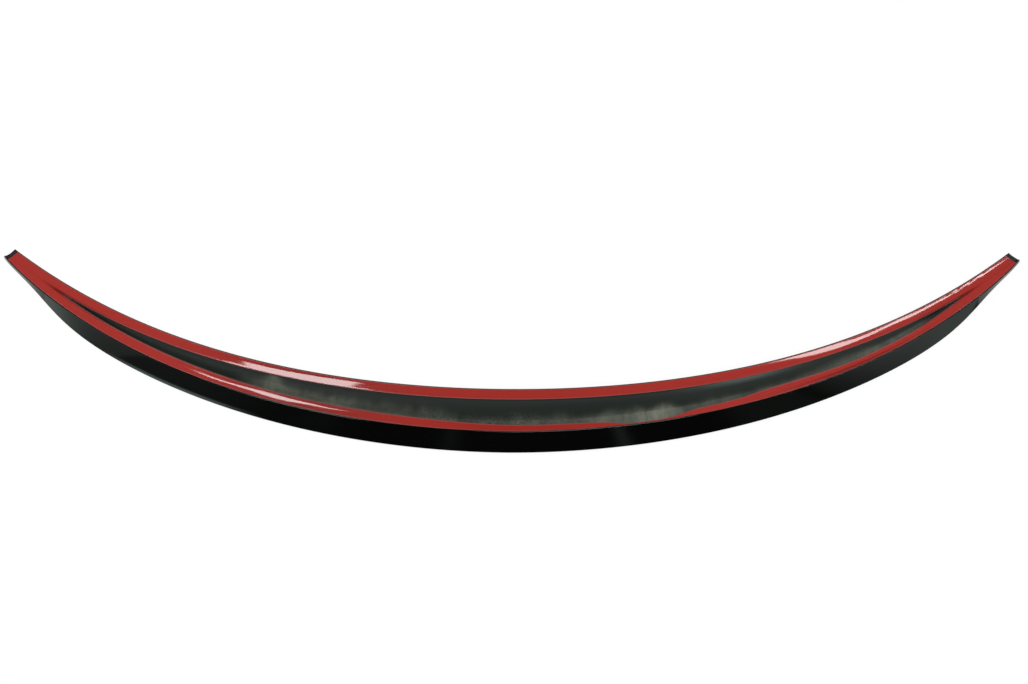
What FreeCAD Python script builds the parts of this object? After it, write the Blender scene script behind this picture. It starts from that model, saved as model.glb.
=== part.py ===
import FreeCAD, Part
import os
import Sketcher

# Boot lid lip spoiler lying upside down: X along the span, Y away from the lip, Z up.
# The shell is lofted through sections that stand square to the bowed front edge.
# Two foam strips with release film lie on its front and rear lands.

SIZES = (
    ("half_span", 592, "centre to front corner, along X"),
    ("bow_depth", 188, "how far the tips sweep back from the centre"),
    ("bow_sharpness", 0.26, "share of the bow that comes in near the tips"),
    ("end_skew", 14.6, "end cut turned outward from square, degrees"),
    ("mid_width", 54.9, "front edge to rim at the centre"),
    ("tip_width", 15.2, "front edge to rim at the tip"),
    ("width_power", 1.7, "how late the width starts to fall"),
    ("width_round", 0.76, "how blunt the tip is in plan"),
    ("mid_front_height", 20, "front edge above the floor at the centre"),
    ("tip_front_height", 5, "front edge above the floor at the tip"),
    ("mid_rim_height", 22, "rim above the floor at the centre"),
    ("tip_rim_height", 4.8, "rim above the floor at the tip"),
    ("overhang", 16.4, "lip beyond the rim at the centre"),
    ("tip_overhang", 1, "lip beyond the rim at the tip"),
    ("overhang_power", 18, "how late the overhang starts to fall"),
    ("overhang_round", 7.3, "how early the overhang is gone"),
    ("front_land", 13.5, "width of the front land"),
    ("mid_front_drop", 2.2, "fall across the front land at the centre"),
    ("tip_front_drop", 0.8, "fall across the front land at the tip"),
    ("rear_land", 13.6, "width of the rear land"),
    ("rear_slope", 0.03, "rise of the rear land toward the rim"),
    ("hollow_least", 0.2, "least width left between the lands"),
    ("hollow_sag", 0.15, "depth of the hollow as a share of its width"),
    ("rim_width", 1, "rounded rim beside the rear land"),
    ("front_thickness", 1.8, "wall at the front edge"),
    ("lip_radius", 1.6, "rounding of the lip"),
    ("skin_sag", 0.02, "hollow of the outer skin as a share of its chord"),
    ("tape_width", 12, "both adhesive strips"),
    ("foam_thickness", 0.9, "foam of the strips"),
    ("liner_thickness", 0.25, "release film"),
    ("front_inset", 0.6, "front strip back from the front edge"),
    ("rear_inset", 0.2, "rear strip in from the rim"),
    ("strip_gap", 0.3, "clearance of the rear strip beside the hollow"),
    ("tape_setback", 3.5, "strips stop this far short of the tip, along X"),
    ("shallow_trim", 4.4, "rear strip trimmed at the rim along the middle"),
    ("shallow_place", 60, "middle of that trimmed length, X"),
    ("shallow_reach", 130, "half of that trimmed length"),
    ("deep_trim", 7.5, "extra trim where the strip runs off the rim"),
    ("deep_place", 155, "middle of the run-off, X"),
    ("deep_reach", 42, "half of the run-off"),
)
# Foam is drawn this far into the land and then cut to it
SEAT = 0.2
# Depths of two arcs as shares of their chords
RIM_CROWN = "0.35"
QUARTER_ROUND = "0.2071"

# Fractions of the half span where sections stand
SHELL_SIDE = ("0.2", "0.4", "0.58", "0.72", "0.82", "0.9", "0.955", "0.985")
TAPE_END = "(1 - Sizes.tape_setback / Sizes.half_span)"
RUN_OFF = ("0.1", "0.15", "0.195", "0.24", "0.28", "0.32", "0.36")

doc = FreeCAD.newDocument("lip_spoiler")
sheet = doc.addObject("Spreadsheet::Sheet", "Sizes")
for row, (alias, number, note) in enumerate(SIZES, start=1):
    sheet.set(f"A{row}", note)
    sheet.set(f"B{row}", str(number))
    sheet.setAlias(f"B{row}", alias)
doc.recompute()


def both_sides(side, middle=()):
    """Fractions from the left tip to the right tip."""
    left = [f"-{fraction}" for fraction in reversed(side)]
    inner = [fraction for fraction in middle if fraction not in side]
    return left + ["0"] + sorted(inner + list(side), key=station_order)


def station_order(fraction):
    return float(sheet.evalExpression(fraction))


def station(name, fraction):
    """Section values of the shell at a signed fraction of the half span."""
    values = doc.addObject("App::VarSet", name)

    def put(key, expression, kind="App::PropertyFloat"):
        values.addProperty(kind, key, "Section")
        values.setExpression(key, expression)

    def blend(tip, mid, fall):
        return f"Sizes.{tip} + (Sizes.{mid} - Sizes.{tip}) * {fall}"

    put("along", fraction)
    put("reach", "abs(along)")
    put("place_x", "Sizes.half_span * along")
    bow = "(1 - Sizes.bow_sharpness) * pow(along; 2) + Sizes.bow_sharpness * pow(along; 4)"
    middle = "(Sizes.bow_depth - Sizes.mid_width - Sizes.overhang) / 2"
    put("place_y", f"Sizes.bow_depth * ({bow}) - {middle}")
    put("slope", "Sizes.bow_depth / Sizes.half_span * along * (2 * (1 - Sizes.bow_sharpness)"
                 " + 4 * Sizes.bow_sharpness * pow(along; 2))")
    put("turn", "atan(slope) + Sizes.end_skew * along * pow(reach; 29) * 1 deg",
        "App::PropertyAngle")
    put("round_off", "1 - pow(reach; 2)")
    width_fall = "pow(1 - pow(reach; Sizes.width_power); Sizes.width_round)"
    lip_fall = "pow(1 - pow(reach; Sizes.overhang_power); Sizes.overhang_round)"
    put("width", blend("tip_width", "mid_width", width_fall))
    put("front_z", blend("tip_front_height", "mid_front_height", "round_off"))
    put("rim_z", blend("tip_rim_height", "mid_rim_height", "round_off"))
    put("lip_u", f"width + {blend('tip_overhang', 'overhang', lip_fall)}")
    put("front_drop", blend("tip_front_drop", "mid_front_drop", "round_off"))
    put("rear_width", "min(Sizes.rear_land; width - Sizes.rim_width - Sizes.front_land"
                      " - Sizes.hollow_least)")
    put("rear_u", "width - Sizes.rim_width")
    put("hollow_u", "rear_u - rear_width")
    put("hollow_z", "rim_z - rear_width * Sizes.rear_slope")
    return name


def sag_radius(start, end, sag):
    """Radius of an arc whose depth is a share of its chord."""
    chord = f"sqrt(pow({end[0]} - ({start[0]}); 2) + pow({end[1]} - ({start[1]}); 2))"
    return f"{chord} * (0.25 + pow({sag}; 2)) / (2 * {sag})"


def section(body, place, corners):
    """Closed sketch in a station's plane; corners are (name, u, v, arc share or None)."""
    sketch = body.newObject("Sketcher::SketchObject", f"{body.Name}_{place}")
    origin = [f for f in body.Origin.OriginFeatures if f.Role == "XZ_Plane"][0]
    sketch.AttachmentSupport = (origin, [""])
    sketch.MapMode = "FlatFace"
    upright = FreeCAD.Rotation(FreeCAD.Vector(0, -1, 0), 90)
    sketch.AttachmentOffset = FreeCAD.Placement(FreeCAD.Vector(), upright)
    sketch.setExpression("AttachmentOffset.Base.x", f"{place}.place_x")
    sketch.setExpression("AttachmentOffset.Base.z", f"-{place}.place_y")
    sketch.setExpression("AttachmentOffset.Rotation.Angle", f"90 deg - {place}.turn")

    def at(corner):
        return FreeCAD.Vector(*(float(sheet.evalExpression(e)) for e in corner[1:3]), 0)

    ends = []
    for index, corner in enumerate(corners):
        following = corners[(index + 1) % len(corners)]
        start, end = at(corner), at(following)
        if corner[3] is None:
            sketch.addGeometry(Part.LineSegment(start, end))
            ends.append((1, 2))
            continue
        side, share = corner[3]
        run = end - start
        bulge = FreeCAD.Vector(-run.y, run.x, 0) * (side * float(sheet.evalExpression(share)))
        sketch.addGeometry(Part.Arc(start, (start + end) / 2 + bulge, end))
        ends.append((2, 1) if side > 0 else (1, 2))
    rules, names = [], []
    for index, corner in enumerate(corners):
        before = (index - 1) % len(corners)
        start = at(corner)
        rules.append(Sketcher.Constraint("Coincident", before, ends[before][1], index, ends[index][0]))
        rules.append(Sketcher.Constraint("DistanceX", -1, 1, index, ends[index][0], start.x))
        rules.append(Sketcher.Constraint("DistanceY", -1, 1, index, ends[index][0], start.y))
        names += [None, (f"{corner[0]}_u", corner[1]), (f"{corner[0]}_v", corner[2])]
        if corner[3] is not None:
            following = corners[(index + 1) % len(corners)]
            radius = sag_radius(corner[1:3], following[1:3], corner[3][1])
            rules.append(Sketcher.Constraint("Radius", index, float(sheet.evalExpression(radius))))
            names.append((f"{corner[0]}_radius", radius))
    sketch.addConstraint(rules)
    for index, binding in enumerate(names):
        if binding:
            sketch.renameConstraint(index, binding[0])
            sketch.setExpression(f"Constraints.{binding[0]}", binding[1])
    return sketch


def loft(name, places, corners_of):
    """Body lofted smoothly through one sketch at each station."""
    body = doc.addObject("PartDesign::Body", name)
    sketches = [section(body, place, corners_of(place)) for place in places]
    skin = body.newObject("PartDesign::AdditiveLoft", f"{name}_loft")
    skin.Profile = (sketches[0], [""])
    skin.Sections = [(sketch, [""]) for sketch in sketches[1:]]
    return body


def shell_corners(s):
    return (
        ("front_low", "0", f"{s}.front_z - Sizes.front_thickness", None),
        ("front_top", "0", f"{s}.front_z", None),
        ("land_end", "Sizes.front_land", f"{s}.front_z - {s}.front_drop", (-1, "Sizes.hollow_sag")),
        ("rear_start", f"{s}.hollow_u", f"{s}.hollow_z", None),
        ("rim_in", f"{s}.rear_u", f"{s}.rim_z", (1, RIM_CROWN)),
        ("rim_out", f"{s}.width", f"{s}.rim_z", None),
        ("lip_out", f"{s}.lip_u", "Sizes.lip_radius", (1, QUARTER_ROUND)),
        ("lip_low", f"{s}.lip_u - Sizes.lip_radius", "0", (-1, "Sizes.skin_sag")),
    )


def strip_corners(start, along, bottom, top):
    """Four corners on a sloping land: along are two distances, bottom and top two heights."""
    (base_u, base_v), (cosine, sine) = start

    def corner(name, distance, height):
        return (name, f"{base_u} + ({distance}) * {cosine} - ({height}) * {sine}",
                f"{base_v} + ({distance}) * {sine} + ({height}) * {cosine}", None)

    return (corner("low_near", along[0], bottom), corner("low_far", along[1], bottom),
            corner("top_far", along[1], top), corner("top_near", along[0], top))


def front_land(s):
    tilt = f"atan({s}.front_drop / Sizes.front_land)"
    return ("0", f"{s}.front_z"), (f"cos({tilt})", f"(-sin({tilt}))")


def rear_land(s):
    tilt = "atan(Sizes.rear_slope)"
    return (f"{s}.hollow_u", f"{s}.hollow_z"), (f"cos({tilt})", f"sin({tilt})")


def front_run(s):
    return "Sizes.front_inset", "Sizes.front_inset + Sizes.tape_width"


def rear_run(s):
    def trim(kind):
        offset = f"({s}.place_x - Sizes.{kind}_place) / Sizes.{kind}_reach"
        return f"Sizes.{kind}_trim / (1 + pow({offset}; 4))"

    outer = f"{s}.rear_width - Sizes.rear_inset"
    wide = f"min(Sizes.tape_width - {trim('shallow')} - {trim('deep')}; {outer} - Sizes.strip_gap)"
    return f"{outer} - {wide}", outer


def strip(name, places, land, run, bottom, top):
    return loft(name, places, lambda s: strip_corners(land(s), run(s), bottom, top))


def cut(name, base, tool):
    result = doc.addObject("Part::Cut", name)
    result.Base, result.Tool = base, tool
    return result


def stations(prefix, fractions):
    return [station(f"{prefix}_{index}", fraction) for index, fraction in enumerate(fractions)]


shell_places = stations("shell_at", both_sides(SHELL_SIDE + ("1",)))
front_places = stations("front_at", both_sides(SHELL_SIDE + (TAPE_END,)))
rear_places = stations("rear_at", both_sides(SHELL_SIDE + (TAPE_END,), RUN_OFF))
doc.recompute()

shell = loft("spoiler_shell", shell_places, shell_corners)
parts = [shell]
for label, places, land, run in (("front_tape", front_places, front_land, front_run),
                                 ("rear_tape", rear_places, rear_land, rear_run)):
    core = strip(f"{label}_core", places, land, run, f"{-SEAT}", "Sizes.foam_thickness")
    film = strip(f"{label}_film", places, land, run, "0.5 * Sizes.foam_thickness",
                 "Sizes.foam_thickness + Sizes.liner_thickness")
    parts.append(cut(f"{label}_foam", core, shell))
    parts.append(cut(f"{label}_liner", film, core))
doc.recompute()

for item in doc.Objects:
    if {"Invalid", "Error"} & set(item.State):
        raise RuntimeError(f"{item.Name} did not build: {item.State}")
os.makedirs("parts", exist_ok=True)
for item in parts:
    if item.Shape.isNull() or not item.Shape.isValid() or len(item.Shape.Solids) != 1:
        raise RuntimeError(f"{item.Label} is not one valid solid")
    item.Shape.exportStep(f"parts/{item.Label}.step")
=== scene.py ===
import math
from types import SimpleNamespace

import bpy
from mathutils import Matrix, Vector, noise


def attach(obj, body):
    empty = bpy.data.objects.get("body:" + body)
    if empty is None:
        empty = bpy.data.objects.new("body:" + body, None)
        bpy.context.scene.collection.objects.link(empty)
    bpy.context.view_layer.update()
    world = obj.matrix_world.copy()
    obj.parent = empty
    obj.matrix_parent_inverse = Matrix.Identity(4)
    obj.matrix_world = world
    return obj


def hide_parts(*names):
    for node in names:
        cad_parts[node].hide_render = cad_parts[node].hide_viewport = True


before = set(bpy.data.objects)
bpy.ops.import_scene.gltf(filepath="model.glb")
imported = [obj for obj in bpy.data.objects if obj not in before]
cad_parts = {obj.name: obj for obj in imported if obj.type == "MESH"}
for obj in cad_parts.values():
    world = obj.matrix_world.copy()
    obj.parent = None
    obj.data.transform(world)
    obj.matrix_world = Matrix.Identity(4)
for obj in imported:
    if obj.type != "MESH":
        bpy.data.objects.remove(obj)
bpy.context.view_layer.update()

# Sizes of the moulding in millimetres, the same as in the part's source
HALF_SPAN = 592
BOW_DEPTH = 188
BOW_SHARPNESS = 0.26
END_SKEW, SKEW_POWER = 14.6, 29
MID_WIDTH, TIP_WIDTH = 54.9, 15.2
WIDTH_POWER, WIDTH_ROUND = 1.7, 0.76
MID_FRONT_HEIGHT, TIP_FRONT_HEIGHT = 20, 5
MID_RIM_HEIGHT, TIP_RIM_HEIGHT = 22, 4.8
OVERHANG, TIP_OVERHANG = 16.4, 1
OVERHANG_POWER, OVERHANG_ROUND = 18, 7.3
FRONT_LAND = 13.5
MID_FRONT_DROP, TIP_FRONT_DROP = 2.2, 0.8
REAR_LAND = 13.6
REAR_SLOPE = 0.03
HOLLOW_LEAST = 0.2
HOLLOW_SAG = 0.15
RIM_WIDTH = 1
FRONT_THICKNESS = 1.8
LIP_RADIUS = 1.6
SKIN_SAG = 0.02
TAPE_WIDTH = 12
FOAM_THICKNESS = 0.9
LINER_THICKNESS = 0.25
FRONT_INSET = 0.6
REAR_INSET = 0.2
STRIP_GAP = 0.3
TAPE_SETBACK = 3.5
SHALLOW_TRIM, SHALLOW_PLACE, SHALLOW_REACH = 4.4, 60, 130
DEEP_TRIM, DEEP_PLACE, DEEP_REACH = 7.5, 155, 42
# Depths of two arcs as shares of their chords, also the same
RIM_CROWN, QUARTER_ROUND = 0.35, 0.2071
# Small forms that only the looks have, in millimetres
END_DISH, DISH_START = 1.5, 0.985
TAPE_SHORT = 1.4
HAND_TRIMS = ((2.6, 240, 30), (3.6, 420, 72))
EDGE_ROUND, LAND_ROUND, HOLLOW_ROUND, RIM_ROUND, FOAM_ROUND = 0.5, 1.2, 1.5, 0.4, 0.12
MM = 0.001


# Shape of the moulding

def station(along):
    """Section of the moulding at a signed fraction of the half span."""
    reach = abs(along)
    low = 1 - reach ** 2
    s = SimpleNamespace()
    bow = (1 - BOW_SHARPNESS) * along ** 2 + BOW_SHARPNESS * along ** 4
    s.x = HALF_SPAN * along
    s.y = BOW_DEPTH * bow - (BOW_DEPTH - MID_WIDTH - OVERHANG) / 2
    slope = BOW_DEPTH / HALF_SPAN * along * (2 * (1 - BOW_SHARPNESS) + 4 * BOW_SHARPNESS * along ** 2)
    turn = math.atan(slope) + math.radians(END_SKEW) * along * reach ** SKEW_POWER
    s.outward = (math.sin(turn), -math.cos(turn))
    s.width = TIP_WIDTH + (MID_WIDTH - TIP_WIDTH) * (1 - reach ** WIDTH_POWER) ** WIDTH_ROUND
    s.front_z = TIP_FRONT_HEIGHT + (MID_FRONT_HEIGHT - TIP_FRONT_HEIGHT) * low
    s.rim_z = TIP_RIM_HEIGHT + (MID_RIM_HEIGHT - TIP_RIM_HEIGHT) * low
    lip = (1 - reach ** OVERHANG_POWER) ** OVERHANG_ROUND
    s.lip_u = s.width + TIP_OVERHANG + (OVERHANG - TIP_OVERHANG) * lip
    s.front_drop = TIP_FRONT_DROP + (MID_FRONT_DROP - TIP_FRONT_DROP) * low
    s.rear_width = min(REAR_LAND, s.width - RIM_WIDTH - FRONT_LAND - HOLLOW_LEAST)
    s.rear_u = s.width - RIM_WIDTH
    s.hollow_u = s.rear_u - s.rear_width
    s.hollow_z = s.rim_z - s.rear_width * REAR_SLOPE
    s.dish = math.copysign(END_DISH * max(0, (reach - DISH_START) / (1 - DISH_START)) ** 2, along)
    return s


def placed(s, u, v):
    """Point of a section in the shared frame, metres; the tips are dished a little."""
    out_x, out_y = s.outward
    back = s.dish * (1 - (2 * u / s.lip_u - 1) ** 2)
    return Vector((s.x + out_x * u + out_y * back, s.y + out_y * u - out_x * back, v)) * MM


def run(start, end, count):
    """Points strictly between two corners."""
    steps = [(i + 1) / (count + 1) for i in range(count)]
    return [(start[0] + (end[0] - start[0]) * k, start[1] + (end[1] - start[1]) * k) for k in steps]


def bowed(start, end, share, count):
    """Points strictly between two corners on an arc whose depth is a share of its chord."""
    du, dv = end[0] - start[0], end[1] - start[1]
    half = 2 * math.atan(2 * abs(share))
    points = []
    for i in range(count):
        angle = half * (2 * (i + 1) / (count + 1) - 1)
        across = 0.5 + math.sin(angle) / math.sin(half) / 2
        rise = (math.cos(angle) - math.cos(half)) / math.sin(half) / 2 * math.copysign(1, share)
        points.append((start[0] + du * across - dv * rise, start[1] + dv * across + du * rise))
    return points


def softened(corner, before, after, radius, count=4):
    """Corner worn round: points of a curve that cuts inside it."""
    def toward(other):
        length = math.dist(corner, other)
        share = min(radius, 0.4 * length) / max(length, 1e-9)
        return [c + (o - c) * share for c, o in zip(corner, other)]

    first, last = toward(before), toward(after)
    points = []
    for i in range(count):
        k = i / (count - 1)
        points.append(tuple((1 - k) ** 2 * a + 2 * k * (1 - k) * c + k ** 2 * b
                            for a, c, b in zip(first, corner, last)))
    return points


def shell_loop(s):
    """Zones of the moulding's section, in order round it."""
    low = (0, s.front_z - FRONT_THICKNESS)
    top = (0, s.front_z)
    land_end = (FRONT_LAND, s.front_z - s.front_drop)
    rear_start = (s.hollow_u, s.hollow_z)
    rim_in = (s.rear_u, s.rim_z)
    rim_out = (s.width, s.rim_z)
    lip_out = (s.lip_u, LIP_RADIUS)
    lip_low = (s.lip_u - LIP_RADIUS, 0)
    hollow = bowed(land_end, rear_start, -HOLLOW_SAG, 12)
    rim = bowed(rim_in, rim_out, RIM_CROWN, 5)
    skin = bowed(lip_low, low, -SKIN_SAG, 14)
    return (
        ("edge", softened(low, skin[-1], top, EDGE_ROUND) + softened(top, low, land_end, EDGE_ROUND)),
        ("land", run(top, land_end, 3)),
        ("hollow", softened(land_end, top, hollow[0], LAND_ROUND) + hollow
         + softened(rear_start, hollow[-1], rim_in, HOLLOW_ROUND)),
        ("rear", run(rear_start, rim_in, 3)),
        ("rim", [rim_in] + rim),
        ("face", softened(rim_out, rim[-1], lip_out, RIM_ROUND) + run(rim_out, lip_out, 5)),
        ("lip", [lip_out] + bowed(lip_out, lip_low, QUARTER_ROUND, 5)),
        ("skin", [lip_low] + skin),
    )


def front_strip(s):
    """Start, direction and two distances of the front strip on its land."""
    tilt = -math.atan(s.front_drop / FRONT_LAND)
    return (0, s.front_z), tilt, FRONT_INSET, FRONT_INSET + TAPE_WIDTH


def rear_strip(s):
    """The same for the rear strip, with its hand-trimmed edge."""
    def trim(amount, place, reach):
        return amount / (1 + ((s.x - place) / reach) ** 4)

    outer = s.rear_width - REAR_INSET
    trims = (
        (SHALLOW_TRIM, SHALLOW_PLACE, SHALLOW_REACH),
        (DEEP_TRIM, DEEP_PLACE, DEEP_REACH),
        *HAND_TRIMS,
    )
    trimmed = TAPE_WIDTH - sum(trim(*t) for t in trims)
    wide = min(trimmed, outer - STRIP_GAP)
    return (s.hollow_u, s.hollow_z), math.atan(REAR_SLOPE), outer - wide, outer


def on_land(strip, distance, height):
    """Point of a section at a distance along a strip and a height over its land."""
    (u, v), tilt = strip[:2]
    return (u + distance * math.cos(tilt) - height * math.sin(tilt),
            v + distance * math.sin(tilt) + height * math.cos(tilt))


# Form of the films in millimetres
FILM_POINTS = 13
FILM_EDGE, EDGE_TURN = 0.12, 0.6
FILM_LAP, LAP_START, LAP_REACH = 1.4, 1.2, 2.4
FILM_SKEW = 0.4
FILM_OVERHANG = 0.4
FILM_LEAN, LEAN_START, LEAN_REACH = 0.055, 440, 50
FRONT_CROWN = 0.35
REAR_CROWN = 0.3
RIGHT_CROWN, RIGHT_START, RIGHT_REACH = 0.25, -100, 200
# Waves of the film: length along the strip, change across it, height
BROAD_LENGTH, BROAD_ACROSS, BROAD_HEIGHT = 38, 1.3, 0.08
SHORT_LENGTH, SHORT_ACROSS, SHORT_HEIGHT = 16, 1.1, 0.008
WAVE_REST = -0.085
PUCKER_START, PUCKER_REACH, PUCKER_DEPTH = 490, 30, 0.06
PUCKER_PITCH, PUCKER_ACROSS, PUCKER_WANDER = 2.7, 2.1, 9
FRONT_SEED, REAR_SEED, SHORT_SEED = 0.0, 31.0, 7


def clamped(value):
    """Value kept between 0 and 1."""
    return max(0, min(1, value))


def film_base(crown):
    """Height of the film's two edges over the land."""
    return FOAM_THICKNESS + LINER_THICKNESS - crown - FILM_EDGE


def foam_loop(strip_of, crown):
    """Foam of a strip, up to the film's edges."""
    top = film_base(crown)

    def loop(s):
        strip = strip_of(s)
        near, far = strip[2:]
        corners = [on_land(strip, *c) for c in ((near, 0), (far, 0), (far, top), (near, top))]
        sides = []
        for i, corner in enumerate(corners):
            sides += softened(corner, corners[i - 1], corners[(i + 1) % 4], FOAM_ROUND, 3)
        return (("foam", sides),)
    return loop


def film_wave(x, across, seed, puckered):
    """Height of the film's waves and wrinkles in millimetres, at rest under zero."""
    broad = noise.noise(Vector((x / BROAD_LENGTH, across * BROAD_ACROSS, seed)))
    short = noise.noise(Vector((x / SHORT_LENGTH, across * SHORT_ACROSS, seed + SHORT_SEED)))
    ripple = math.sin(x / PUCKER_PITCH + PUCKER_ACROSS * across + PUCKER_WANDER * broad)
    pucker = clamped((x - PUCKER_START) / PUCKER_REACH) * (0.5 + 0.5 * ripple) ** 2 * (1 - across)
    return WAVE_REST + BROAD_HEIGHT * broad + SHORT_HEIGHT * short - PUCKER_DEPTH * puckered * pucker


def film_loop(strip_of, crown, seed):
    """Film crowned over the foam; where the lands meet, the rear film laps onto the front one."""
    low = film_base(crown)

    def loop(s):
        strip = strip_of(s)
        rear = strip_of is rear_strip
        lap = FILM_LAP * clamped((REAR_LAND - s.rear_width - LAP_START) / LAP_REACH)
        flat = 1 - (1 - RIGHT_CROWN) * rear * clamped((s.x - RIGHT_START) / RIGHT_REACH)
        shift = -lap if rear else FILM_SKEW * max(0, s.x / HALF_SPAN) - FILM_OVERHANG
        near, far = strip[2] + shift, strip[3]
        width = far - near
        narrow = min(1, width / TAPE_WIDTH) ** 2
        lean = FILM_LEAN * rear * width * clamped((s.x - LEAN_START) / LEAN_REACH)
        top = []
        for i in range(FILM_POINTS):
            across = i / (FILM_POINTS - 1)
            bulge = crown * flat * (1 - (2 * across - 1) ** 2) * narrow
            inside = 1 - (2 * across - 1) ** 8
            height = low + FILM_EDGE * (1 - EDGE_TURN * (1 - inside) * narrow) + bulge
            height += film_wave(s.x, across, seed, not rear) * inside * narrow + lean * across
            top.append(on_land(strip, near + width * across, height))
        return (("base", [on_land(strip, near, low), on_land(strip, far, low)]),
                ("top", list(reversed(top))))
    return loop


# Making the pieces

STATION_CROWDING = 1.35
MERGE_DISTANCE = 1e-7
SMOOTH_ANGLE = 40


def deselect_all():
    bpy.ops.object.select_all(action="DESELECT")


def swept_piece(name, loop_of, reach, spans):
    """A sheet laid round the section at every station, closed along its seam and at its ends."""
    deselect_all()
    zones = loop_of(station(0))
    points = sum(len(z[1]) for z in zones)
    bpy.ops.mesh.primitive_grid_add(x_subdivisions=spans, y_subdivisions=points, size=2,
                                    calc_uvs=True, location=(0, 0, 0))
    piece = bpy.context.object
    piece.name = piece.data.name = name
    mesh = piece.data
    columns = len({round(v.co.x, 5) for v in mesh.vertices}) - 1
    rows = len({round(v.co.y, 5) for v in mesh.vertices}) - 1
    if rows != points:
        raise RuntimeError(f"{name}: the sheet has {rows} rows for {points} points")
    loops = []
    for column in range(columns + 1):
        t = 2 * column / columns - 1
        along = reach * math.copysign(1 - (1 - abs(t)) ** STATION_CROWDING, t)
        s = station(along)
        loops.append([placed(s, *p) for zone in loop_of(s) for p in zone[1]])
    for v in mesh.vertices:
        column = round((v.co.x + 1) / 2 * columns)
        row = round((v.co.y + 1) / 2 * rows)
        v.co = loops[column][row % points]
    bpy.ops.object.mode_set(mode="EDIT")
    bpy.ops.mesh.select_all(action="SELECT")
    bpy.ops.mesh.remove_doubles(threshold=MERGE_DISTANCE)
    bpy.ops.mesh.select_all(action="DESELECT")
    bpy.ops.mesh.select_mode(type="EDGE")
    bpy.ops.mesh.select_non_manifold(extend=False, use_wire=False, use_boundary=True,
                                     use_multi_face=False, use_non_contiguous=False, use_verts=False)
    bpy.ops.mesh.fill_holes(sides=0)
    bpy.ops.mesh.select_all(action="SELECT")
    bpy.ops.mesh.normals_make_consistent(inside=False)
    bpy.ops.object.mode_set(mode="OBJECT")
    bpy.ops.object.shade_smooth_by_angle(angle=math.radians(SMOOTH_ANGLE))
    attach(piece, "root")
    return piece


def zone_limits(loop_of, name):
    """Where a zone starts and ends round the section, as shares of its UV height."""
    zones = loop_of(station(0))
    total = sum(len(z[1]) for z in zones)
    start = 0
    for zone, points in zones:
        if zone == name:
            return start / total, (start + len(points)) / total
        start += len(points)
    raise KeyError(name)


# Materials

class Wire:
    """A shader socket that takes part in arithmetic."""

    def __init__(self, tree, socket=None):
        self.tree, self.socket = tree, socket

    def node(self, kind, settings=None, inputs=None, output=0):
        """New node with its settings and its values or links, as a wire of one output."""
        made = self.tree.nodes.new(kind)
        for key, value in (settings or {}).items():
            setattr(made, key, value)
        for key, value in (inputs or {}).items():
            if isinstance(value, Wire):
                self.tree.links.new(value.socket, made.inputs[key])
            else:
                made.inputs[key].default_value = value
        return Wire(self.tree, made.outputs[output]) if made.outputs else made

    def math(self, operation, *values):
        """Math node on numbers and wires."""
        return self.node("ShaderNodeMath", {"operation": operation}, dict(enumerate(values)))

    def __add__(self, other):
        return self.math("ADD", self, other)

    def __radd__(self, other):
        return self.math("ADD", other, self)

    def __sub__(self, other):
        return self.math("SUBTRACT", self, other)

    def __rsub__(self, other):
        return self.math("SUBTRACT", other, self)

    def __mul__(self, other):
        return self.math("MULTIPLY", self, other)

    def __rmul__(self, other):
        return self.math("MULTIPLY", other, self)

    def __truediv__(self, other):
        return self.math("DIVIDE", self, other)

    def ramp(self, start, end, low=0.0, high=1.0):
        """Smooth step between two values."""
        limits = {"From Min": start, "From Max": end, "To Min": low, "To Max": high}
        return self.node("ShaderNodeMapRange", {"interpolation_type": "SMOOTHSTEP"},
                         {"Value": self, **limits})

    def hump(self, centre, reach):
        """One at the centre, falling off on both sides."""
        offset = (self - centre) / reach
        return self.math("POWER", math.e, offset * offset * -1)

    def part(self, axis):
        """One number of a vector."""
        return self.node("ShaderNodeSeparateXYZ", None, {0: self}, axis)

    def mixed(self, first, second):
        """Colour between two, with this value as the share of the second."""
        return self.node("ShaderNodeMix", {"data_type": "RGBA"}, {0: self, 6: first, 7: second}, 2)

    def grain(self, scale, detail=3.0, roughness=0.5, stretch=(1, 1, 1)):
        """Noise in the piece's own coordinates, stretched along an axis."""
        laid = self.node("ShaderNodeMapping", None, {"Vector": self, "Scale": stretch})
        return self.node("ShaderNodeTexNoise", None,
                         {"Vector": laid, "Scale": scale, "Detail": detail, "Roughness": roughness})


def finish(name):
    """New material, its surface shader, and wires for a point's place and UV."""
    material = bpy.data.materials.new(name)
    material.use_nodes = True
    tree = material.node_tree
    surface = next(n for n in tree.nodes if n.type == "BSDF_PRINCIPLED")
    start = Wire(tree)
    place = start.node("ShaderNodeTexCoord", None, None, "Object")
    sheet = start.node("ShaderNodeTexCoord", None, None, "UV")
    return material, surface, place, sheet


def feed(surface, **values):
    """Set or link sockets of a surface shader by name."""
    for key, value in values.items():
        socket = surface.inputs[key.replace("_", " ")]
        if isinstance(value, Wire):
            value.tree.links.new(value.socket, socket)
        else:
            socket.default_value = value


# Colours of the finishes, linear
COAT_DARK, COAT_LIGHT = (0.0006, 0.0008, 0.0006, 1), (0.0009, 0.0011, 0.0009, 1)
# Painted pale reflection on the lip's round, left of the middle
LIP_PAINTED_REFLECTION = (0.05, 0.063, 0.062, 1)
BARE_DARK, BARE_LIGHT = (0.0072, 0.0104, 0.009, 1), (0.0096, 0.0124, 0.01, 1)
BARE_RIGHT = (0.0135, 0.0172, 0.0148, 1)
# Painted sheen: a pale bluish reflection on the hollow's upper part
PAINTED_SHEEN = (0.075, 0.1, 0.092, 1)
OVERSPRAY = (0.17, 0.178, 0.14, 1)
# Painted shade along the line between the hollow's two facets
CREASE_SHADE = (0.006, 0.008, 0.0065, 1)
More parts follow.
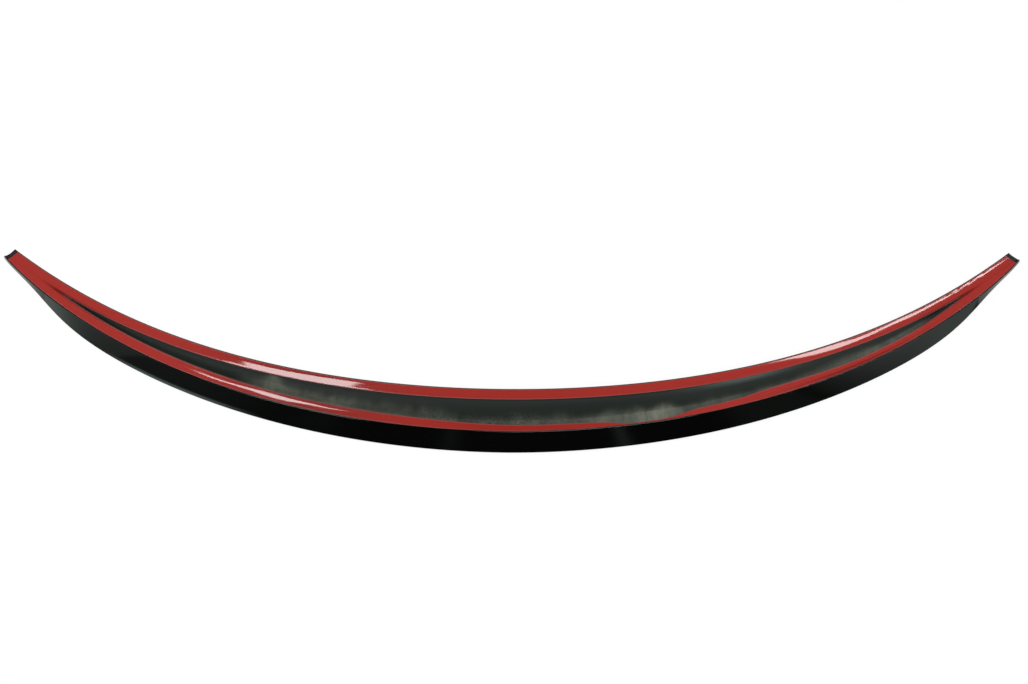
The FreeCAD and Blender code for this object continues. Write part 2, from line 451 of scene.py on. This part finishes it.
# Painted shade in the narrow hollow where the lands meet near the tips
WEDGE_SHADE = (0.0055, 0.0035, 0.0025, 1)
FILM_RED, FILM_BRIGHT = (0.308, 0.027, 0.022, 1), (0.35, 0.034, 0.029, 1)
FILM_DULL = (0.27, 0.023, 0.019, 1)
# Painted shade on the rim half of the rear film
FILM_RIM_SHADE = (0.17, 0.012, 0.01, 1)
FILM_LIFTED = (0.19, 0.021, 0.018, 1)
FILM_SHADED = (0.25, 0.017, 0.012, 1)
# The first: darker cut edges of the films, with painted shade along them
FILM_CUT_SHADE, FRONT_CUT = (0.1, 0.017, 0.014, 1), (0.03, 0.006, 0.006, 1)
FILM_SEAM = (0.09, 0.006, 0.004, 1)
FOAM_DARK, FOAM_LIGHT = (0.035, 0.016, 0.015, 1), (0.085, 0.03, 0.027, 1)
# Denser patches of overspray along the span: amount, then place and reach in metres
PATCH_LEAST = 0.4
PATCHES = (
    (0.28, 0.15, 0.08),
    (0.2, -0.273, 0.012),
    (0.2, -0.22, 0.05),
    (0.1, -0.03, 0.08),
    (0.24, 0.43, 0.05),
    (0.35, 0.165, 0.02),
)


def relief(surface, height, strength, distance):
    """Bump on a surface from a height, its distance in metres."""
    inputs = {"Strength": strength, "Distance": distance, "Height": height}
    feed(surface, Normal=height.node("ShaderNodeBump", None, inputs, "Normal"))


def overspray(place, x, down, grains):
    """Share of pale mist in the hollow: thickest beside the rear land, in patches, with bare dots."""
    brushed = place.grain(190, 3, 0.6, (1, 0.12, 0.12))
    patches = PATCH_LEAST + sum(amount * x.hump(centre, reach) for amount, centre, reach in PATCHES)
    early = 0.24 * x.ramp(-0.2, 0.03, 1, 0) + 0.15 * x.ramp(0.28, 0.4) + 0.3 * x.hump(-0.273, 0.009)
    band = (down + early + (grains.cloud - 0.5) * 0.4).ramp(0.3, 0.8)
    dots = place.grain(430, 2, 0.5).ramp(0.54, 0.6) * x.hump(-0.035, 0.1) * down.ramp(0.36, 0.5)
    uneven = grains.cloud * 0.8 + grains.blot * 0.6 + brushed * 0.3 - 0.2
    mist = band * patches * uneven * x.ramp(-0.33, -0.285, 0.22, 1)
    return mist.ramp(0, 1) * grains.speck.ramp(0.3, 0.5, 0.6, 1) * (1 - dots * 0.85)


def hollow_colour(x, around, down, blot, mist, hollow_start):
    """Bare plastic with a painted sheen right of the middle, dusted with mist, and painted shade along the
    line between its two facets and where the lands meet near the tips.
    """
    bare = blot.mixed(BARE_DARK, BARE_LIGHT)
    bare = x.ramp(0.1, 0.24).mixed(bare, BARE_RIGHT)
    # Painted sheen on the upper part of the hollow, right of the middle
    sheen_patch = x.hump(0.27, 0.05) * down.ramp(0.05, 0.32, 0.9, 0)
    dusted = mist.mixed(sheen_patch.mixed(bare, PAINTED_SHEEN), OVERSPRAY)
    # Painted shade along the line between the hollow's two facets
    crease_shade = down.hump(0.3, 0.06) * x.ramp(-0.34, -0.26)
    crease_shaded = (crease_shade * 0.25).mixed(dusted, CREASE_SHADE)
    # Painted shade in the narrow hollow where the lands meet near both tips
    wedge_shade = (x * -1).ramp(0.42, 0.5) + x.ramp(0.455, 0.5)
    wedge_shade = wedge_shade * around.ramp(hollow_start - 0.01, hollow_start + 0.01)
    return (wedge_shade * 0.9).mixed(crease_shaded, WEDGE_SHADE)


def coat_colour(x, around, cloud):
    """Black outside, with a painted pale reflection along a stretch of the lip."""
    black = (cloud * 0.6).mixed(COAT_DARK, COAT_LIGHT)
    lip_start, lip_end = zone_limits(shell_loop, "lip")
    step = (lip_end - lip_start) / 6
    # Painted reflection: a pale line along the lip's round, left of the middle
    lip_reflection = around.ramp(lip_start - step * 1.3, lip_start - step * 0.5)
    lip_reflection = lip_reflection * x.ramp(-0.48, -0.43) * x.ramp(-0.36, -0.28, 1, 0)
    return lip_reflection.mixed(black, LIP_PAINTED_REFLECTION)


def moulding_finish():
    """Clear-coated black outside, bare satin plastic with pale overspray in the hollow."""
    material, surface, place, sheet = finish("gloss_black_moulding")
    x = place.part(0)
    around = sheet.part(1)
    edge = sum(zone_limits(shell_loop, "edge")) / 2
    hollow_start = zone_limits(shell_loop, "hollow")[0]
    rear_end = zone_limits(shell_loop, "rear")[1]
    inner = around.ramp(edge - 0.004, edge + 0.004) * around.ramp(rear_end - 0.004, rear_end + 0.012, 1, 0)
    down = (around - hollow_start) / (rear_end - hollow_start)
    grains = SimpleNamespace(cloud=place.grain(24, 4, 0.6, (1, 0.3, 0.3)),
                             blot=place.grain(70, 4, 0.6, (1, 0.8, 0.8)),
                             speck=place.grain(900, 2, 0.5))
    mist = overspray(place, x, down, grains)
    hollow = hollow_colour(x, around, down, grains.blot, mist, hollow_start)
    feed(surface, Base_Color=inner.mixed(coat_colour(x, around, grains.cloud), hollow))
    scuff = place.grain(210, 4, 0.6)
    feed(surface, Roughness=inner * (0.45 + mist * 0.25) + 0.045 + scuff * 0.03)
    feed(surface, Specular_IOR_Level=0.14, Coat_Weight=1 - inner, Coat_Roughness=0.04)
    peel = place.grain(330, 2, 0.5)
    relief(surface, peel * 0.12 + inner * grains.speck * 0.9, 0.12, 0.0004)
    return material


def film_finish(name, rear_film_shade=0.0):
    """Red film, darker along its cut edges with painted shade there, and with painted shade on its rim
    half where the rear film has come away from the foam.
    """
    material, surface, place, sheet = finish(name)
    x = place.part(0)
    around = sheet.part(1)
    broad = place.grain(18, 3, 0.55)
    fine = place.grain(150, 3, 0.55, (0.6, 1.6, 1))
    colour = (broad * 0.5).mixed(FILM_RED, FILM_BRIGHT)
    colour = fine.ramp(0.45, 0.75, 0, 0.35).mixed(colour, FILM_DULL)
    # Painted shade on the rim half of the rear film, right of the middle
    rim_shade = x.hump(0.4, 0.07) * around.ramp(0.4, 0.55, 1, 0) * rear_film_shade
    colour = rim_shade.mixed(colour, FILM_RIM_SHADE)
    lifted = x.hump(-0.235, 0.1)
    colour = (lifted * 0.8).mixed(colour, FILM_LIFTED)
    shaded = x.hump(0.01, 0.13) * (0.85 if rear_film_shade else 0.4)
    colour = shaded.mixed(colour, FILM_SHADED)

    # Where the two films meet, the edge between them is a dark seam and then one surface
    side = x.math("ABSOLUTE", x)
    seam = side.ramp(0.44, 0.5) * side.ramp(0.53, 0.56, 1, 0)
    seam = seam * (around.ramp(0.77, 0.85) if rear_film_shade else around.ramp(0.2, 0.28, 1, 0))
    joined = side.ramp(0.5, 0.55) * (around.ramp(0.5, 0.6) if rear_film_shade else around.ramp(0.4, 0.5, 1, 0))
    # Darker cut edges with painted shade along them; the same edges are rougher
    cut = (around.ramp(0.16, 0.22, 1, 0) + around.ramp(0.79, 0.86)) * (1 - joined)
    colour = (cut * (0.5 + lifted * 0.35)).mixed(colour, FILM_CUT_SHADE)
    if not rear_film_shade:
        colour = (around.ramp(0.83, 0.89) * 0.9).mixed(colour, FRONT_CUT)
    feed(surface, Base_Color=(seam * 0.8).mixed(colour, FILM_SEAM))
    feed(surface, Roughness=0.035 + fine * 0.04 + cut * 0.5)
    relief(surface, broad * 0.6 + fine * 0.35, 0.03, 0.0004)
    return material


def foam_finish():
    """Matte foam with fine closed cells."""
    material, surface, place, _ = finish("tape_foam")
    cells = place.grain(1400, 3, 0.6)
    feed(surface, Base_Color=cells.mixed(FOAM_DARK, FOAM_LIGHT))
    feed(surface, Roughness=0.75 + cells * 0.2)
    relief(surface, cells, 0.5, 0.0003)
    return material


# The pieces, each standing for its node

TAPE_REACH = 1 - (TAPE_SETBACK + TAPE_SHORT) / HALF_SPAN
PLAIN_SPANS, FILM_SPANS = 320, 1100
# Strength of the painted shade on the rear film's rim half
REAR_FILM_SHADE = 0.8
foam = foam_finish()
front_film = film_finish("front_release_film")
rear_film = film_finish("rear_release_film", REAR_FILM_SHADE)
front_foam_loop = foam_loop(front_strip, FRONT_CROWN)
rear_foam_loop = foam_loop(rear_strip, REAR_CROWN)
front_film_loop = film_loop(front_strip, FRONT_CROWN, FRONT_SEED)
rear_film_loop = film_loop(rear_strip, REAR_CROWN, REAR_SEED)
for name, loop_of, reach, spans, node, slot, material in (
    ("moulding", shell_loop, 1, PLAIN_SPANS, "spoiler_shell", "gloss_black", moulding_finish()),
    ("front_foam", front_foam_loop, TAPE_REACH, PLAIN_SPANS, "front_tape_foam", "foam", foam),
    ("rear_foam", rear_foam_loop, TAPE_REACH, PLAIN_SPANS, "rear_tape_foam", "foam", foam),
    ("front_film", front_film_loop, TAPE_REACH, FILM_SPANS, "front_tape_liner", "red_film", front_film),
    ("rear_film", rear_film_loop, TAPE_REACH, FILM_SPANS, "rear_tape_liner", "red_film", rear_film),
):
    piece = swept_piece(name, loop_of, reach, spans)
    piece.data.materials.clear()
    piece.data.materials.append(material)
    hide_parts(node)


# Floor, light and camera

FLOOR_SIZE, FLOOR_DROP = 30, 0.0003
PAPER, WHITE, WHITE_SHARE = (0.9, 0.9, 0.9, 1), (1, 1, 1, 1), 0.88
ROOM_TINT, ROOM_LEVEL = (0.87, 1.0, 0.92, 1), 0.02
PANEL_HEIGHT = 1.5
CAMERA_TARGET = Vector((0.0029, 0.0064, 0.010))
CAMERA_ELEVATION, CAMERA_ROLL = math.radians(64), 0.0037
CAMERA_DISTANCE, LENS, SENSOR = 2.4, 72.25, 36


def pale_floor():
    """Pale floor that looks white to the camera and in gloss, and keeps the part's shadow."""
    deselect_all()
    bpy.ops.mesh.primitive_plane_add(size=FLOOR_SIZE, location=(0, 0, -FLOOR_DROP))
    floor = bpy.context.object
    floor.name = "floor"
    material = bpy.data.materials.new("pale_floor")
    material.use_nodes = True
    tree = material.node_tree
    tree.nodes.clear()
    start = Wire(tree)
    paper = start.node("ShaderNodeBsdfDiffuse", None, {"Color": PAPER})
    white = start.node("ShaderNodeEmission", None, {"Color": WHITE, "Strength": 1.0})
    seen = [start.node("ShaderNodeLightPath", None, None, kind)
            for kind in ("Is Camera Ray", "Is Glossy Ray", "Is Transmission Ray")]
    any_seen = seen[0] + seen[1] + seen[2]
    share = any_seen.math("MINIMUM", any_seen, 1) * WHITE_SHARE
    mixed = start.node("ShaderNodeMixShader", None, {0: share, 1: paper, 2: white})
    start.node("ShaderNodeOutputMaterial", None, {"Surface": mixed})
    floor.data.materials.append(material)


def studio_world():
    """Dim room with a dark front, a grey wall to the left and a lighter one to the right."""
    world = bpy.data.worlds.new("studio")
    bpy.context.scene.world = world
    world.use_nodes = True
    tree = world.node_tree
    tree.nodes.clear()
    start = Wire(tree)
    direction = start.node("ShaderNodeTexCoord", None, None, "Generated")
    x, z = direction.part(0), direction.part(2)
    leftward = x * -1
    left = leftward.ramp(0.4, 0.7) * 0.11 + leftward.ramp(0.703, 0.713) * 0.17
    left = left + leftward.ramp(0.7, 0.96) * 1.1
    right = x.ramp(0.4, 0.5) * 0.065 * (1 - x.hump(0.597, 0.014) * 0.6) + x.ramp(0.59, 0.8) * 0.7
    right = right * (1 - x.hump(0.966, 0.016) * 0.75)
    patch = x.hump(0.228, 0.014) * 0.15 + x.hump(-0.13, 0.02) * 0.05 + x.hump(-0.4, 0.05) * 0.03
    level = ROOM_LEVEL + (left + right + patch) * z.ramp(0.72, 0.84, 1, 0)
    sky = start.node("ShaderNodeBackground", None, {"Color": ROOM_TINT, "Strength": level})
    start.node("ShaderNodeOutputWorld", None, {"Surface": sky})


def soft_box(name, place, rotation, size, radiance):
    """Area lamp of a given brightness, whatever its size."""
    deselect_all()
    bpy.ops.object.light_add(type="AREA", location=place, rotation=rotation)
    lamp = bpy.context.object
    lamp.name = name
    lamp.data.shape = "RECTANGLE"
    lamp.data.size, lamp.data.size_y = size
    lamp.data.energy = radiance * math.pi * size[0] * size[1]


def aimed_box(name, place, size, radiance):
    """Soft box turned toward the part."""
    soft_box(name, place, Vector(place).to_track_quat("Z", "Y").to_euler(), size, radiance)


def overhead_panel(name, x, y, turn, size, radiance):
    """Small panel that lies flat above the part, for one gleam on the films."""
    soft_box(name, (x, y, PANEL_HEIGHT), (0, 0, math.radians(turn)), size, radiance)


def photo_camera():
    """Camera at the place from which the part was photographed."""
    deselect_all()
    back = Vector((0, -math.cos(CAMERA_ELEVATION), math.sin(CAMERA_ELEVATION)))
    turned = back.to_track_quat("Z", "Y").to_matrix() @ Matrix.Rotation(CAMERA_ROLL, 3, "Z")
    bpy.ops.object.camera_add(location=CAMERA_TARGET + back * CAMERA_DISTANCE,
                              rotation=turned.to_euler())
    camera = bpy.context.object
    camera.name = "photo_camera"
    camera.data.sensor_fit = "HORIZONTAL"
    camera.data.sensor_width = SENSOR
    camera.data.lens = LENS
    bpy.context.scene.camera = camera


pale_floor()
studio_world()
aimed_box("key_box", (0.45, -1.5, 2.3), (1.2, 1.1), 10)
aimed_box("left_fill", (-2.0, 1.3, 1.6), (1.2, 1.0), 5)
aimed_box("right_fill", (2.0, 1.3, 1.6), (1.2, 1.0), 5)
overhead_panel("left_front_gleam", -0.565, 0.09, -12, (0.31, 0.4), 12)
overhead_panel("left_front_low_gleam", -0.62, -0.06, -22, (0.44, 0.16), 12)
overhead_panel("left_rear_gleam", -0.6, 0.777, -30, (0.16, 0.1), 12)
overhead_panel("left_rear_wide_gleam", -0.495, 0.735, -50, (0.2, 0.2), 12)
overhead_panel("right_front_gleam", 0.785, 0.47, -42, (0.28, 0.2), 12)
overhead_panel("right_far_gleam", 0.945, 0.69, 62, (0.34, 0.13), 13)
overhead_panel("right_tip_gleam", 1.065, 0.94, 62, (0.16, 0.11), 14)
photo_camera()
bpy.context.scene.view_settings.view_transform = "Standard"
